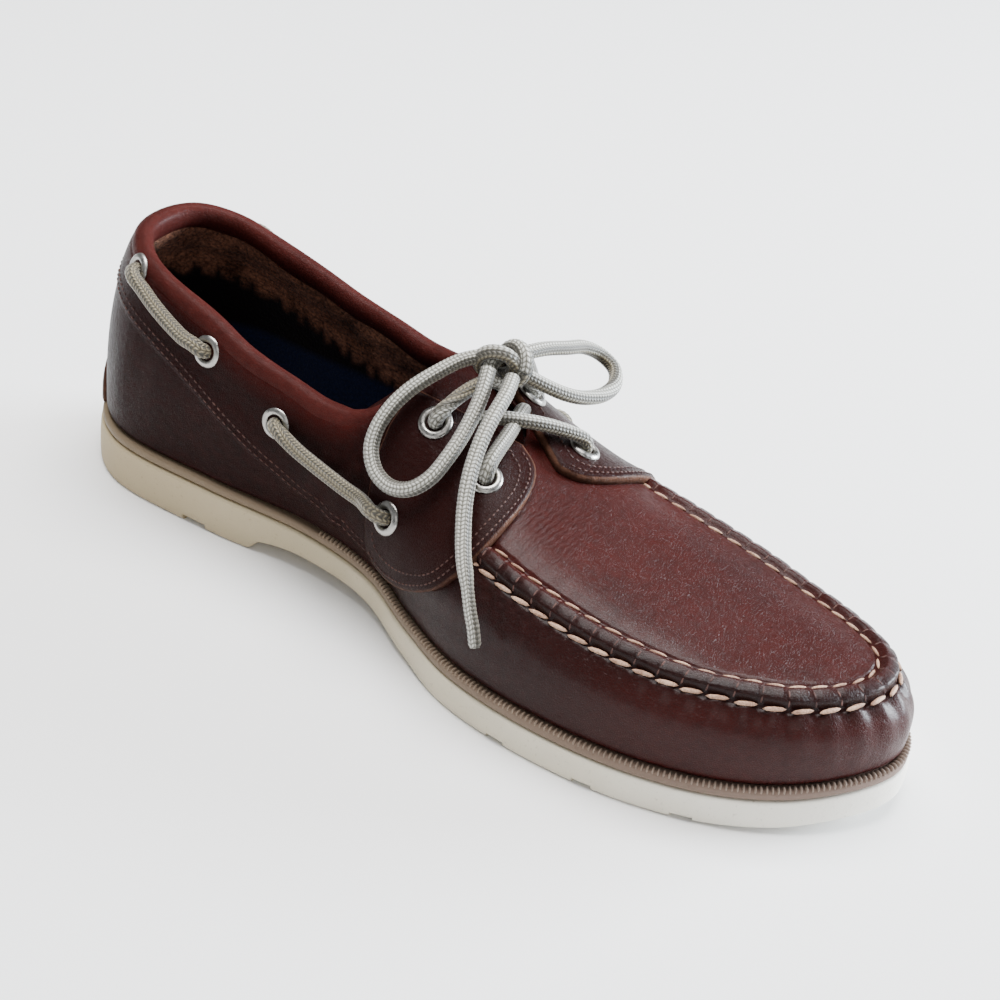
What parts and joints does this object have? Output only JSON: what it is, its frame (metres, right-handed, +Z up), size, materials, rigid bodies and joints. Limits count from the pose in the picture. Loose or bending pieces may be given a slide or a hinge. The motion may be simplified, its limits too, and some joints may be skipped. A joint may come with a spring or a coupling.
{
  "type": "boat shoe",
  "caption": "Left leather boat shoe with moccasin seam, side lacing through metal eyelets, tied bow and pale rubber sole, standing empty.",
  "frame": {"origin": "on the ground plane, under the middle of the shoe's box measured without the bow", "axes": "+X from heel to toe, +Y towards the outer (left) side of the foot, +Z up from the ground"},
  "size_m": [0.2926, 0.1112, 0.086],
  "materials": {
    "leather": "pull-up leather, waxed, soft sheen",
    "sole_rubber": "matt moulded rubber, off-white",
    "rand_rubber": "matt ribbed rand, grey-brown",
    "sock_lining": "matt navy sock lining",
    "eyelet_metal": "satin nickel",
    "lace_cord": "waxed braid, off-white with a dark tracer"
  },
  "bodies": {
    "root": {"outsole": "sole_rubber", "welt": "rand_rubber", "insole": "sock_lining", "upper": "leather", "tongue": "leather", "lace_stay_medial": "leather", "lace_stay_lateral": "leather", "heel_patch": "leather", "eyelet_medial_1": "eyelet_metal", "eyelet_medial_2": "eyelet_metal", "eyelet_medial_3": "eyelet_metal", "eyelet_medial_4": "eyelet_metal", "eyelet_medial_5": "eyelet_metal", "eyelet_medial_6": "eyelet_metal", "eyelet_lateral_1": "eyelet_metal", "eyelet_lateral_2": "eyelet_metal", "eyelet_lateral_3": "eyelet_metal", "eyelet_lateral_4": "eyelet_metal", "eyelet_lateral_5": "eyelet_metal", "eyelet_lateral_6": "eyelet_metal", "lace_bar_medial_rear": "lace_cord", "lace_bar_medial_front": "lace_cord", "lace_bar_lateral_rear": "lace_cord", "lace_bar_lateral_front": "lace_cord", "lace_crossing": "lace_cord", "lace_knot": "lace_cord", "lace_loop_medial": "lace_cord", "lace_loop_lateral": "lace_cord", "lace_end_medial": "lace_cord", "lace_end_lateral": "lace_cord"}
  },
  "joints": []
}
